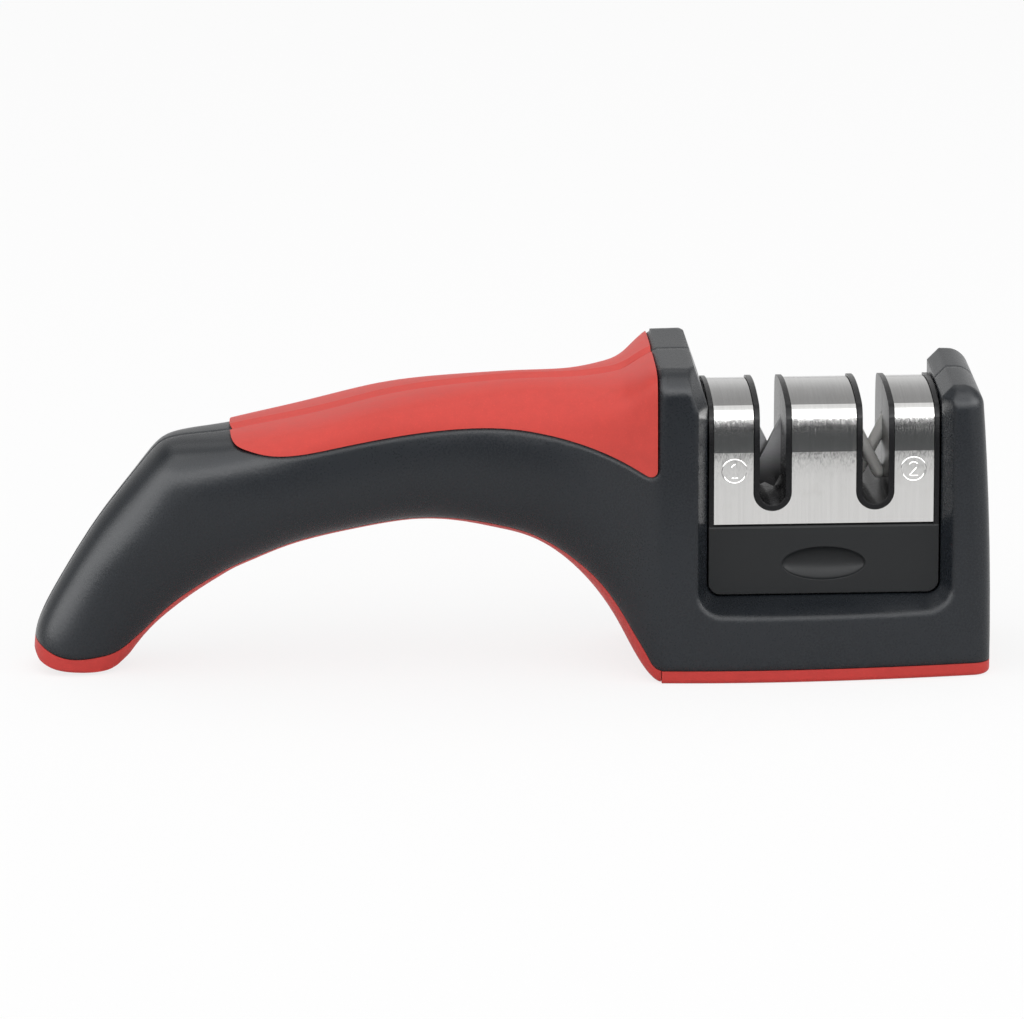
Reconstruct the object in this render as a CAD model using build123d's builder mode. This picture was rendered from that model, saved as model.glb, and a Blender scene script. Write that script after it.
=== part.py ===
"""Pull through knife sharpener with an arched handle and a drop-in two slot cartridge.

The sharpener stands on its base and on the foot of its handle. +Z is up, X runs along the
handle with the nose at +X, and the parting plane of the two shell halves is Y = 0. The origin
is on the ground under the middle of the whole length. All sizes are millimetres.
"""
import math
import os

from build123d import *

# Whole sharpener
overall_length = 202.1
base_length = 69.8
base_width = 46.2
tower_height = 67.3
nose_drop = 4.8
nose_height = tower_height - nose_drop
nose_x = overall_length / 2
break_x = nose_x - base_length
handle_length = overall_length - base_length
half_width = base_width / 2

# Running and seating gaps
seat_gap = 0.15
parting_gap = 0.12
core_parting_gap = 0.03
joint_gap = 0.05
bay_gap = 0.35
overrun = 5.0

# Cartridge
left_tower_length = 10.2
nose_tower_length = 11.0
cartridge_width = base_length - left_tower_length - nose_tower_length
cartridge_centre_x = break_x + left_tower_length + cartridge_width / 2
apron_half_depth = 15.9
apron_foot_z = 17.6
apron_top_z = 32.3
apron_corner = 2.6
crown_z = 59.0
cover_half_depth = 15.3
cover_thickness = 0.8
cover_foot_z = 32.7
cover_bend = 3.0
cover_bow_z = 48.2
cover_bow_radius = 43.0
end_rim = 1.0
rim_proud = 0.45
slot_width = 5.5
slot_rim = 1.15
slot_spacing = 21.65
slot_foot_z = 36.8

# Shell halves
tower_shoulder = 5.0
shell_wall = 2.2
bay_floor_z = apron_foot_z - bay_gap
bay_bevel = 2.7
bay_corner = 5.6
bay_inner_corner = 2.8
sole_thickness = 2.8

# Cartridge guides, moulded on the inner walls of the bay
guide_reach = 1.4
guide_half_depth = 2.4
guide_top_z = 50.0

# Handle stations from the foot to the break against the base. Each row holds the top point and
# the underside point in the parting plane (x as a share of handle_length measured from break_x,
# z as a share of tower_height), the half width as a share of half_width, how far the upper and the
# lower half of the section swell from an ellipse (0) to a full corner (1), and the red strip's
# thickness as a share of sole_thickness.
station_shares = [
    # top x, top z, low x, low z, width, upper, lower, strip
    (1.004, 0.010, 0.870, -0.045, 0.400, 0.07, 0.15, 1.05),
    (0.992, 0.132, 0.835, 0.066, 0.410, 0.07, 0.18, 0.75),
    (0.967, 0.242, 0.806, 0.133, 0.420, 0.05, 0.20, 0.62),
    (0.927, 0.375, 0.776, 0.186, 0.450, 0.05, 0.22, 0.70),
    (0.875, 0.525, 0.737, 0.244, 0.505, 0.05, 0.22, 0.72),
    (0.821, 0.659, 0.701, 0.290, 0.555, 0.14, 0.22, 0.66),
    (0.765, 0.741, 0.664, 0.331, 0.600, 0.32, 0.22, 0.60),
    (0.684, 0.758, 0.626, 0.365, 0.630, 0.48, 0.22, 0.60),
    (0.570, 0.802, 0.555, 0.414, 0.650, 0.60, 0.20, 0.64),
    (0.505, 0.831, 0.498, 0.439, 0.642, 0.66, 0.20, 0.58),
    (0.440, 0.863, 0.441, 0.459, 0.625, 0.60, 0.20, 0.56),
    (0.305, 0.900, 0.320, 0.463, 0.560, 0.40, 0.22, 0.56),
    (0.207, 0.913, 0.215, 0.415, 0.540, 0.28, 0.22, 0.62),
    (0.139, 0.915, 0.143, 0.331, 0.575, 0.38, 0.25, 0.86),
    (0.086, 0.925, 0.087, 0.213, 0.680, 0.55, 0.45, 1.52),
    (0.044, 0.951, 0.045, 0.078, 0.830, 0.66, 0.72, 1.90),
    (0.018, 0.983, 0.019, 0.012, 0.930, 0.80, 0.92, 1.45),
    (-0.008, 0.999, -0.008, 0.000, 0.970, 0.94, 1.00, 1.00),
]
widest_share = 0.45
ellipse_share = 0.5523

# Grips
grip_proud = 0.5
grip_depth = 1.6
shell_crease = (0.35, 0.45)
grip_crease = (0.75, 2.6)


def on_handle(x_share, z_share):
    """Point of the side view from shares of the handle's length and of the tower's height."""
    return Vector(break_x - x_share * handle_length, 0, z_share * tower_height)


def quarter(start, corner, end, swell):
    """Quarter of a section from start to end, swollen from an ellipse towards the corner."""
    start, corner, end = Vector(*start), Vector(*corner), Vector(*end)
    first = start + (corner - start) * ellipse_share
    second = end + (corner - end) * ellipse_share
    controls = [
        (start * 2 + first * 3) / 5,
        (start + first * 6 + second * 3) / 10,
        (first * 3 + second * 6 + end) / 10,
        (second * 3 + end * 2) / 5,
    ]
    swollen = [point + (corner - point) * swell for point in controls]
    return Bezier(start, *swollen, end)


def half_handle(inset=0.0, crease=shell_crease, first=0, last=None):
    """Front half of the handle, lofted through its stations and drawn in by the inset."""
    crease_depth, crease_width = crease
    with BuildPart() as body:
        for row in station_shares[first:last]:
            top_x, top_z, low_x, low_z, width, upper, lower, _ = row
            top = on_handle(top_x, top_z)
            low = on_handle(low_x, low_z)
            down = (low - top).normalized()
            start = inset
            end = (low - top).length - inset
            middle = start + widest_share * (end - start)
            side = width * half_width - inset
            plane = Plane(origin=top, x_dir=down, z_dir=down.cross(Vector(0, -1, 0)))
            with BuildSketch(plane):
                with BuildLine():
                    Line((start + crease_depth, 0), (start, crease_width))
                    quarter((start, crease_width), (start, side), (middle, side), upper)
                    quarter((middle, side), (end, side), (end, 0), lower)
                    Line((end, 0), (start + crease_depth, 0))
                make_face()
        loft()
    return body.part


# Base block
plan_start_half_width = half_width - 0.7
plan_mid_half_width = half_width - 1.2
plan_end_half_width = half_width - 4.5
nose_lean = 2.2
nose_bow_share = 0.16
nose_corner = 4.6
nose_shoulder = 4.2
nose_top_x = nose_x - nose_lean - nose_corner


def half_block():
    """Front half of the base with its two towers, before the bay is cut."""
    middle_x = cartridge_centre_x
    with BuildPart() as block:
        with BuildSketch(Plane.XY):
            with BuildLine():
                Line((break_x, 0), (break_x, -plan_start_half_width))
                Spline(
                    (break_x, -plan_start_half_width),
                    (break_x + 0.2 * base_length, -half_width),
                    (break_x + 0.68 * base_length, -plan_mid_half_width),
                    (nose_x + overrun, -plan_end_half_width),
                )
                Line((nose_x + overrun, -plan_end_half_width), (nose_x + overrun, 0))
                Line((nose_x + overrun, 0), (break_x, 0))
            make_face()
        extrude(amount=tower_height)
        with BuildSketch(Plane.XZ):
            with BuildLine():
                Polyline(
                    (nose_x, 0),
                    (break_x, 0),
                    (break_x, tower_height),
                    (middle_x - overrun, tower_height),
                    (middle_x, bay_floor_z + overrun),
                    (middle_x + overrun, nose_height),
                    (nose_x - nose_lean, nose_height),
                )
                ThreePointArc(
                    (nose_x - nose_lean, nose_height),
                    (nose_x - nose_bow_share * nose_lean, nose_height / 2),
                    (nose_x, 0),
                )
            make_face()
            at_nose_height = vertices().filter_by(lambda v: abs(v.Y - nose_height) < seat_gap)
            fillet(at_nose_height.sort_by(Axis.X)[-1], nose_corner)
        extrude(amount=half_width + overrun, mode=Mode.INTERSECT)
        outer = block.edges().filter_by(lambda e: e.center().Y < -0.75 * plan_end_half_width)
        top_left = outer.filter_by(lambda e: abs(e.center().Z - tower_height) < seat_gap)
        nose_top = outer.filter_by(lambda e: abs(e.center().Z - nose_height) < seat_gap)
        nose_side = outer.filter_by(lambda e: e.center().X > nose_top_x)
        fillet(top_left, tower_shoulder)
        fillet(nose_top + nose_side, nose_shoulder)
    return block.part


# Bay for the cartridge
bay_half_width = cartridge_width / 2 + bay_gap
bay_depth = apron_half_depth + bay_gap
left_lean = 2.9
left_lean_height = 8.5
right_lean_z = nose_height - 2.4
face_right_half_width = half_width - 2.3


def bay_outline(grow, corner):
    """Outline of the bay about the cartridge's centre line, open at the top."""
    side = bay_half_width + grow
    floor = bay_floor_z - grow
    above = tower_height + overrun
    lean_z = tower_height - left_lean_height
    slope = left_lean / left_lean_height
    with BuildSketch() as outline:
        with BuildLine():
            Polyline(
                (-side - slope * (above - lean_z), above),
                (-side, lean_z),
                (-side, floor),
                (side, floor),
                (side, right_lean_z),
                (side + above - right_lean_z, above),
                close=True,
            )
        make_face()
        fillet(vertices().group_by(Axis.Y)[0], corner)
    return outline.sketch


with BuildPart() as bay:
    inner = Plane(origin=(cartridge_centre_x, -bay_depth, 0), x_dir=(1, 0, 0), z_dir=(0, -1, 0))
    taper = (half_width - face_right_half_width) / (2 * bay_half_width)
    face_y = -(half_width + face_right_half_width) / 2 - seat_gap
    face = Plane(origin=(cartridge_centre_x, face_y, 0), x_dir=(1, taper, 0), z_dir=(taper, -1, 0))
    with BuildSketch(inner):
        add(bay_outline(0, bay_inner_corner))
    extrude(amount=-bay_depth)
    with BuildSketch(inner):
        add(bay_outline(0, bay_inner_corner))
    with BuildSketch(face):
        add(bay_outline(bay_bevel, bay_corner))
    loft(ruled=True)
    with BuildSketch(face):
        add(bay_outline(bay_bevel, bay_corner))
    extrude(amount=overrun)

# Red zone under the whole sharpener, from the foot along the arch to the nose
foot_length = 21.0
foot_rise = 6.0
foot_inset = 10.4
foot_centre_x = -nose_x + foot_inset
strip_turn = 1.5
sole_edge_radius = 1.0
sole_line_shares = [
    (-0.60, 1.80), (-0.49, 1.24), (-0.37, 0.92), (-0.24, 0.71), (-0.05, 0.60), (0.17, 0.66), (0.36, 0.82), (0.52, 1.20),
]
tread_shares = [
    (-0.66, 2.35), (-0.50, 1.02), (-0.43, 0.50), (-0.30, 0.16), (-0.08, 0.00), (0.16, 0.01), (0.31, 0.15),
    (0.43, 0.43),
]
tread_clearance = 0.4


def at_foot(shares):
    """Points of the side view from shares of the foot's length and rise."""
    return [(foot_centre_x + x * foot_length, z * foot_rise) for x, z in shares]


def strip_line():
    """Points of the line between the shells and the red strip, from the foot to the break."""
    points = []
    for top_x, top_z, low_x, low_z, _, _, _, strip in station_shares[2:-1]:
        low = on_handle(low_x, low_z)
        up = (on_handle(top_x, top_z) - low).normalized()
        point = low + up * (strip * sole_thickness)
        points.append((point.X, point.Z))
    return points


def red_zone(lift=0.0):
    """Everything below the line between the shells and the red soft pieces."""
    with BuildPart() as zone:
        with BuildSketch(Plane.XZ.shift_origin((0, 0, lift))):
            with BuildLine():
                start = at_foot(sole_line_shares)[0]
                turn = (break_x - strip_turn, sole_thickness)
                Spline(*at_foot(sole_line_shares), *strip_line(), turn)
                Polyline(
                    turn,
                    (nose_x + overrun, sole_thickness),
                    (nose_x + overrun, -overrun),
                    (start[0], -overrun),
                    start,
                )
            make_face()
            fillet(vertices().sort_by_distance((*turn, 0))[0], 2 * strip_turn)
        extrude(amount=half_width + overrun, both=True)
    return zone.part


# Facets that round the foot off at its sides, as the share of foot_half_width at which each one
# starts and its angle in degrees
foot_half_width = 9.4
foot_facet_shares = [(0.66, 16.0), (0.84, 42.0)]

with BuildPart() as tread_zone:
    with BuildSketch(Plane.XZ):
        with BuildLine():
            tread = at_foot(tread_shares)
            for _, _, low_x, low_z, *_ in station_shares[1:3]:
                low = on_handle(low_x, low_z)
                tread.append((low.X, low.Z - tread_clearance))
            Spline(*tread)
            Polyline(tread[-1], (tread[-1][0], -overrun), (tread[0][0], -overrun), tread[0])
        make_face()
    extrude(amount=half_width, both=True)
    level = tread_zone.part
    for share, angle in foot_facet_shares:
        add(level.rotate(Axis((0, -share * foot_half_width, 0), (1, 0, 0)), -angle))

# Front half of the whole body, before it is divided
with BuildPart() as front_half:
    add(half_handle())
    add(half_block())

with BuildPart() as red_half:
    add(front_half.part)
    add(red_zone(), mode=Mode.INTERSECT)
    add(tread_zone.part, mode=Mode.SUBTRACT)
    with Locations((0, 0, -overrun / 2)):
        Box(2 * overall_length, 2 * base_width, overrun, mode=Mode.SUBTRACT)


def red_piece(start_x, end_x):
    """Stretch of the red underside between two cross planes, both halves as one piece."""
    length = end_x - start_x
    with BuildPart() as piece:
        add(red_half.part)
        with Locations(((start_x + end_x) / 2, 0, 0)):
            Box(length, 2 * base_width, 2 * tower_height, mode=Mode.INTERSECT)
        mirror(about=Plane.XZ)
    return piece.part


foot_joint_x = foot_centre_x + 0.32 * foot_length
with BuildPart() as foot_sole:
    add(red_piece(-nose_x - overrun, foot_joint_x - joint_gap))

with BuildPart() as arch_strip:
    add(red_piece(foot_joint_x, break_x - seat_gap))

with BuildPart() as base_sole:
    add(red_piece(break_x, nose_x + overrun))
    ground_edges = base_sole.edges().group_by(Axis.Z)[0]
    fillet(ground_edges.filter_by(lambda e: e.center().X > break_x + seat_gap), sole_edge_radius)

# Soft grips, let into the shells
grip_head_x = break_x - 1.0
grip_corner = 1.5
grip_head_z_share = 0.654
grip_line_shares = [
    (0.684, 0.790), (0.675, 0.757), (0.655, 0.741), (0.621, 0.727), (0.583, 0.727), (0.516, 0.749), (0.418, 0.782),
    (0.305, 0.799), (0.230, 0.792), (0.155, 0.763), (0.077, 0.716),
]


def grip_outline(grow=0.0):
    """Side outline of a grip, from its tail along its lower edge to the tower, grown all round."""
    line = [on_handle(x, z) for x, z in grip_line_shares]
    line.append(Vector(grip_head_x, 0, grip_head_z_share * tower_height))
    points = []
    for before, point, after in zip(line[:1] + line, line, line[1:] + line[-1:]):
        along = (after - before).normalized()
        points.append((point.X + grow * along.Z, point.Z - grow * along.X))
    head_x = grip_head_x + grow
    points[-1] = (head_x, points[-1][1])
    with BuildSketch() as outline:
        with BuildLine():
            Spline(*points)
            Polyline(
                points[-1],
                (head_x, tower_height + overrun),
                (points[0][0], tower_height + overrun),
                points[0],
            )
        make_face()
        fillet(outline.vertices().sort_by_distance((*points[-1], 0))[0], grip_corner + grow)
    return outline.sketch


with BuildPart() as front_grip:
    add(half_handle(inset=-grip_proud, crease=grip_crease, first=6))
    with BuildSketch(Plane.XZ):
        add(grip_outline())
    extrude(amount=base_width, mode=Mode.INTERSECT)
    add(half_handle(inset=grip_depth, first=5), mode=Mode.SUBTRACT)
    split(bisect_by=Plane.XZ.offset(parting_gap))

with BuildPart() as grip_pocket:
    with BuildSketch(Plane.XZ):
        add(grip_outline(seat_gap))
    extrude(amount=base_width)
    add(half_handle(inset=grip_depth + seat_gap, first=5), mode=Mode.SUBTRACT)

# Hollow of the shells
cavity_depth = plan_end_half_width - 1.2 * shell_wall
cavity_floor_z = sole_thickness + shell_wall
cavity_top_z = bay_floor_z - bay_bevel - shell_wall
with BuildPart() as hollow:
    add(half_handle(inset=grip_depth + shell_wall, first=2, last=17))
    with BuildSketch(Plane.XZ):
        with BuildLine():
            tower_left = break_x + shell_wall
            tower_inner = cartridge_centre_x - bay_half_width - 1.6 * shell_wall
            nose_inner = cartridge_centre_x + bay_half_width + 1.6 * shell_wall
            Polyline(
                (tower_left, cavity_floor_z),
                (tower_left, tower_height - 2 * shell_wall),
                (tower_inner - left_lean, tower_height - 2 * shell_wall),
                (tower_inner, tower_height - left_lean_height - shell_wall),
                (tower_inner, cavity_top_z),
                (nose_inner, cavity_top_z),
                (nose_inner, nose_height - nose_corner - shell_wall),
                (nose_x - nose_lean - 1.2 * shell_wall, nose_height - nose_corner - shell_wall),
                (nose_x - 1.5 * shell_wall, cavity_floor_z),
                close=True,
            )
        make_face()
    extrude(amount=cavity_depth)

with BuildPart() as half_shell:
    add(front_half.part)
    add(bay.part, mode=Mode.SUBTRACT)
    add(red_zone(seat_gap), mode=Mode.SUBTRACT)
    add(grip_pocket.part, mode=Mode.SUBTRACT)
    add(hollow.part, mode=Mode.SUBTRACT)
    for side in (-1, 1):
        wall_x = cartridge_centre_x + side * bay_half_width
        with BuildSketch(Plane.XZ):
            with BuildLine():
                Polyline(
                    (wall_x + side * guide_reach, bay_floor_z - guide_reach),
                    (wall_x + side * guide_reach, guide_top_z),
                    (wall_x, guide_top_z),
                    (wall_x - side * guide_reach, guide_top_z - 2 * guide_reach),
                    (wall_x - side * guide_reach, bay_floor_z - guide_reach),
                    close=True,
                )
            make_face()
        extrude(amount=guide_half_depth)

# Pins and sockets that hold the halves together, as x, z and the depth of the boss
boss_radius = 3.0
socket_radius = 1.65
socket_depth = 5.0
pin_radius = 1.5
pin_reach = 4.5
handle_boss_shares = [
    # x as for the stations, z as for the stations, local width as for the stations
    (0.757, 0.555, 0.600),
    (0.379, 0.645, 0.590),
    (0.122, 0.600, 0.590),
]
boss_places = [
    (break_x + 2 * shell_wall, guide_top_z / 2, cavity_depth + shell_wall / 4),
    (cartridge_centre_x - 1.5 * boss_radius, cavity_floor_z + 0.9 * boss_radius, cavity_depth + shell_wall / 4),
    (nose_x - 2.7 * shell_wall, guide_top_z / 2, cavity_depth + shell_wall / 4),
]
for x_share, z_share, width_share in handle_boss_shares:
    place = on_handle(x_share, z_share)
    boss_places.append((place.X, place.Z, width_share * half_width - grip_depth - shell_wall / 2))

with BuildPart() as bosses:
    for x, z, depth in boss_places:
        with Locations(Plane.XZ.shift_origin((x, 0, z))):
            Cylinder(boss_radius, depth, align=(Align.CENTER, Align.CENTER, Align.MIN))

parting = Plane.XZ.offset(parting_gap)
with BuildPart() as front_shell:
    add(half_shell.part)
    add(bosses.part)
    for x, z, _ in boss_places:
        with Locations(Plane.XZ.shift_origin((x, 0, z))):
            Cylinder(socket_radius, 2 * socket_depth, mode=Mode.SUBTRACT)
    split(bisect_by=parting)

with BuildPart() as rear_shell:
    add(half_shell.part)
    add(bosses.part)
    split(bisect_by=parting)
    for x, z, depth in boss_places:
        with Locations(Plane.XZ.shift_origin((x, 0, z))):
            Cylinder(pin_radius, 2 * pin_reach)
    mirror(about=Plane.XZ, mode=Mode.REPLACE)

with BuildPart() as rear_grip:
    mirror(front_grip.part, about=Plane.XZ)

# Cartridge core
cartridge_left_x = cartridge_centre_x - cartridge_width / 2
cartridge_right_x = cartridge_centre_x + cartridge_width / 2
slot_centres_x = [cartridge_centre_x - slot_spacing / 2, cartridge_centre_x + slot_spacing / 2]
crown_rise = 1.9
crown_radius = (cover_half_depth**2 + crown_rise**2) / (2 * crown_rise)
core_drop = cover_thickness + seat_gap
apron_ledge = 0.3
dimple_half_length = 8.8
dimple_half_height = 3.6
dimple_depth = 1.8
dimple_z = 24.15
core_wall = 2.0


def arch(grow, start_x, end_x, foot_z):
    """Bar with the arched section of the cover's outside, grown all round, from one x to the other."""
    side = cover_half_depth + grow
    top = crown_z + grow
    radius = crown_radius + grow
    bow_radius = cover_bow_radius + grow
    with BuildPart() as bar:
        with BuildSketch(Plane.YZ.offset(start_x)):
            with Locations((0, top - radius)):
                Circle(radius)
            for centre in (side - bow_radius, bow_radius - side):
                with Locations((centre, cover_bow_z)):
                    Circle(bow_radius, mode=Mode.INTERSECT)
            with Locations((0, cover_bow_z)):
                Rectangle(2 * side, crown_z, align=(Align.CENTER, Align.MIN), mode=Mode.INTERSECT)
                Rectangle(2 * side, cover_bow_z - foot_z, align=(Align.CENTER, Align.MAX))
            fillet(vertices().group_by(Axis.Y)[-1], cover_bend + grow)
        extrude(amount=end_x - start_x)
    return bar.part


def slots(grow=0.0):
    """Both slots as solids through the whole cartridge, round at the foot, grown all round."""
    radius = slot_width / 2 + grow
    centre_z = slot_foot_z + slot_width / 2
    with BuildPart() as cuts:
        with BuildSketch(Plane.XZ):
            for x in slot_centres_x:
                with Locations((x, centre_z)):
                    Circle(radius)
                    Rectangle(2 * radius, crown_z, align=(Align.CENTER, Align.MIN))
        extrude(amount=half_width, both=True)
    return cuts.part


with BuildPart() as slot_rims:
    add(arch(rim_proud, cartridge_left_x, cartridge_right_x, apron_top_z))
    add(slots(slot_rim), mode=Mode.INTERSECT)

with BuildPart() as core:
    with BuildSketch(Plane.XZ):
        with Locations((cartridge_centre_x, apron_foot_z)):
            Rectangle(cartridge_width, apron_top_z - apron_foot_z, align=(Align.CENTER, Align.MIN))
        fillet(vertices().group_by(Axis.Y)[0], apron_corner)
    extrude(amount=apron_half_depth, both=True)
    chamfer(core.edges().filter_by(Axis.X).group_by(Axis.Z)[-1], apron_ledge)
    add(arch(-core_drop, cartridge_left_x, cartridge_right_x, apron_top_z - core_wall))
    add(arch(rim_proud, cartridge_left_x, cartridge_left_x + end_rim, apron_top_z - core_wall))
    add(arch(rim_proud, cartridge_right_x - end_rim, cartridge_right_x, apron_top_z - core_wall))
    add(slot_rims.part)
    add(slots(), mode=Mode.SUBTRACT)
    for end_x in (cartridge_left_x, cartridge_right_x):
        with Locations((end_x, 0, apron_foot_z)):
            Box(
                2 * guide_reach,
                2 * (guide_half_depth + bay_gap),
                2 * (guide_top_z + bay_gap - apron_foot_z),
                mode=Mode.SUBTRACT,
            )
    with Locations((cartridge_centre_x, 0, (apron_foot_z + slot_foot_z) / 2 - core_wall / 4)):
        Box(
            cartridge_width - 2 * (guide_reach + core_wall / 2),
            2 * (apron_half_depth - core_wall),
            slot_foot_z - apron_foot_z - 2.2 * core_wall,
            mode=Mode.SUBTRACT,
        )
    for side in (-1, 1):
        ball = Sphere(1, mode=Mode.PRIVATE)
        ball = scale(ball, by=(dimple_half_length, dimple_depth, dimple_half_height), mode=Mode.PRIVATE)
        with Locations((cartridge_centre_x, side * apron_half_depth, dimple_z)):
            add(ball, mode=Mode.SUBTRACT)

# Carbide blades of the coarse slot. The front one leans to the right, the rear one to the left.
blade_x = slot_centres_x[0]
blade_apex_z = 46.8
blade_lean = 26.4
blade_length = 15.75
blade_width = 5.5
blade_thickness = 1.6
blade_edge = 0.2


def blade(grow=0.0):
    """Front blade, its sharpening edge through the apex of the V, grown all round."""
    lean = math.radians(blade_lean)
    across = Vector(math.cos(lean), 0, -math.sin(lean))
    origin = Vector(blade_x, -seat_gap + grow, blade_apex_z)
    with BuildPart() as body:
        with BuildSketch(Plane(origin=origin, x_dir=across, z_dir=(0, -1, 0))):
            with Locations((blade_width / 2, 0)):
                Rectangle(blade_width + 2 * grow, blade_length + 2 * grow)
        extrude(amount=blade_thickness + 2 * grow)
    return body.part


with BuildPart() as front_carbide:
    add(blade())
    chamfer(front_carbide.edges().filter_by(Axis.Y), blade_edge)

with BuildPart() as rear_carbide:
    mirrored = mirror(front_carbide.part, about=Plane.XZ, mode=Mode.PRIVATE)
    add(mirror(mirrored, about=Plane.YZ.offset(blade_x), mode=Mode.PRIVATE))

# Ceramic rods of the fine slot. The front one comes down from the left, the rear one from the right.
rod_x = slot_centres_x[1]
rod_cross_z = 43.9
rod_lean = 27.0
rod_radius = 1.3
rod_half_depth = 1.5
rod_reach = 13.8
rod_tip_reach = 4.2


def rod(grow=0.0):
    """Front rod, round at its free tip, grown all round."""
    lean = math.radians(rod_lean)
    along = Vector(-math.sin(lean), 0, math.cos(lean))
    foot = Vector(rod_x, -rod_half_depth, rod_cross_z) - along * rod_tip_reach
    with BuildPart() as body:
        with Locations(Plane(origin=foot, z_dir=along)):
            Sphere(rod_radius + grow)
            Cylinder(
                rod_radius + grow,
                rod_tip_reach + rod_reach + grow,
                align=(Align.CENTER, Align.CENTER, Align.MIN),
            )
    return body.part


with BuildPart() as front_ceramic:
    add(rod())

with BuildPart() as rear_ceramic:
    mirrored = mirror(front_ceramic.part, about=Plane.XZ, mode=Mode.PRIVATE)
    add(mirror(mirrored, about=Plane.YZ.offset(rod_x), mode=Mode.PRIVATE))

# Screws that clamp the core halves, put in from the rear
screw_z = 45.0
screw_radius = 1.25
screw_head_radius = 2.4
screw_head_height = 1.6
screw_tip_depth = 8.0
screw_inset = 5.35
screw_centres_x = [cartridge_left_x + screw_inset, cartridge_centre_x, cartridge_right_x - screw_inset]
screw_seat_y = cover_half_depth - core_drop - screw_head_height - seat_gap


def screw(x, grow=0.0):
    """Screw along Y with its head at the rear, grown all round."""
    with BuildPart() as body:
        with Locations(Plane(origin=(x, screw_seat_y - grow, screw_z), z_dir=(0, 1, 0))):
            Cylinder(
                screw_head_radius + grow,
                screw_head_height + 2 * grow,
                align=(Align.CENTER, Align.CENTER, Align.MIN),
            )
        with Locations(Plane(origin=(x, screw_seat_y, screw_z), z_dir=(0, -1, 0))):
            Cylinder(
                screw_radius + grow,
                screw_seat_y + screw_tip_depth + grow,
                align=(Align.CENTER, Align.CENTER, Align.MIN),
            )
    return body.part


with BuildPart() as core_screws:
    for x in screw_centres_x:
        add(screw(x))

with BuildPart() as screw_bores:
    for x in screw_centres_x:
        add(screw(x, seat_gap))

with BuildPart() as front_pockets:
    add(blade(seat_gap))
    add(rod(seat_gap))
    # Channel from the parting plane down to the rod
    lean = math.radians(rod_lean)
    along = Vector(-math.sin(lean), 0, math.cos(lean))
    middle = Vector(rod_x, 0, rod_cross_z) + along * (rod_reach - rod_tip_reach) / 2
    with BuildSketch(Plane(origin=middle, x_dir=along, z_dir=(0, -1, 0))):
        Rectangle(rod_reach + rod_tip_reach + 2 * seat_gap, 2 * (rod_radius + seat_gap))
    extrude(amount=rod_half_depth)

with BuildPart() as front_core:
    add(core.part)
    add(front_pockets.part, mode=Mode.SUBTRACT)
    add(screw_bores.part, mode=Mode.SUBTRACT)
    split(bisect_by=Plane.XZ.offset(core_parting_gap))

with BuildPart() as rear_core:
    add(core.part)
    mirrored = mirror(front_pockets.part, about=Plane.XZ, mode=Mode.PRIVATE)
    blade_pocket, rod_pocket = mirrored.solids().sort_by(Axis.X)
    add(mirror(blade_pocket, about=Plane.YZ.offset(blade_x), mode=Mode.PRIVATE), mode=Mode.SUBTRACT)
    add(mirror(rod_pocket, about=Plane.YZ.offset(rod_x), mode=Mode.PRIVATE), mode=Mode.SUBTRACT)
    add(screw_bores.part, mode=Mode.SUBTRACT)
    split(bisect_by=Plane.XZ.offset(-core_parting_gap), keep=Keep.BOTTOM)

# Bent steel cover over the core
cover_left_x = cartridge_left_x + end_rim + seat_gap
cover_right_x = cartridge_right_x - end_rim - seat_gap
with BuildPart() as steel_cover:
    add(arch(0, cover_left_x, cover_right_x, cover_foot_z))
    add(arch(-cover_thickness, cover_left_x - overrun, cover_right_x + overrun, 0), mode=Mode.SUBTRACT)
    add(slots(slot_rim + seat_gap), mode=Mode.SUBTRACT)

pieces = {
    "front_shell": front_shell,
    "rear_shell": rear_shell,
    "front_grip": front_grip,
    "rear_grip": rear_grip,
    "foot_sole": foot_sole,
    "arch_strip": arch_strip,
    "base_sole": base_sole,
    "front_core": front_core,
    "rear_core": rear_core,
    "steel_cover": steel_cover,
    "front_carbide": front_carbide,
    "rear_carbide": rear_carbide,
    "front_ceramic": front_ceramic,
    "rear_ceramic": rear_ceramic,
    "core_screws": core_screws,
}
os.makedirs("parts", exist_ok=True)
for name, piece in pieces.items():
    piece.part.label = name
    export_step(piece.part, f"parts/{name}.step")
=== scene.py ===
"""Pull through knife sharpener, dressed for rendering round its CAD frame.

The CAD nodes keep their shapes. Each gets a procedural finish, and the steel cover gets its stamped
marks. Lengths are in metres.
"""

import logging
import math
from dataclasses import dataclass
from enum import Enum
from typing import Any

import bpy
import numpy as np
from mathutils import Matrix, Vector


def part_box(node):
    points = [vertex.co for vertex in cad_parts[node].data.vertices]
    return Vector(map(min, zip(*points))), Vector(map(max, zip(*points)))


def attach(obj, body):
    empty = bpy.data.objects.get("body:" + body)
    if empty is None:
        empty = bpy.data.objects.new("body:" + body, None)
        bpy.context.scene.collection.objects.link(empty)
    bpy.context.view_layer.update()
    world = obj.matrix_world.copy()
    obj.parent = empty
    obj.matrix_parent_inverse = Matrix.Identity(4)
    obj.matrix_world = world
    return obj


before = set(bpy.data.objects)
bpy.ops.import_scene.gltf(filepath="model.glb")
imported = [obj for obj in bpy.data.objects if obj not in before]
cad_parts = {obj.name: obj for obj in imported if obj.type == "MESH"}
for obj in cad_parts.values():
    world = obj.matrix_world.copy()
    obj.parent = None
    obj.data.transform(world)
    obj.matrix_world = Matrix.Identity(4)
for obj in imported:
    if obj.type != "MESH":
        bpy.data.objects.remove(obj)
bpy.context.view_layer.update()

MM = 0.001
LOG = logging.getLogger("sharpener")

Colour = tuple[float, float, float]
Cycles = tuple[float, float, float]
Span = tuple[float, float]


class Axis(Enum):
    """One of the three directions of coordinates."""

    X = "X"
    Y = "Y"
    Z = "Z"


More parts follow.
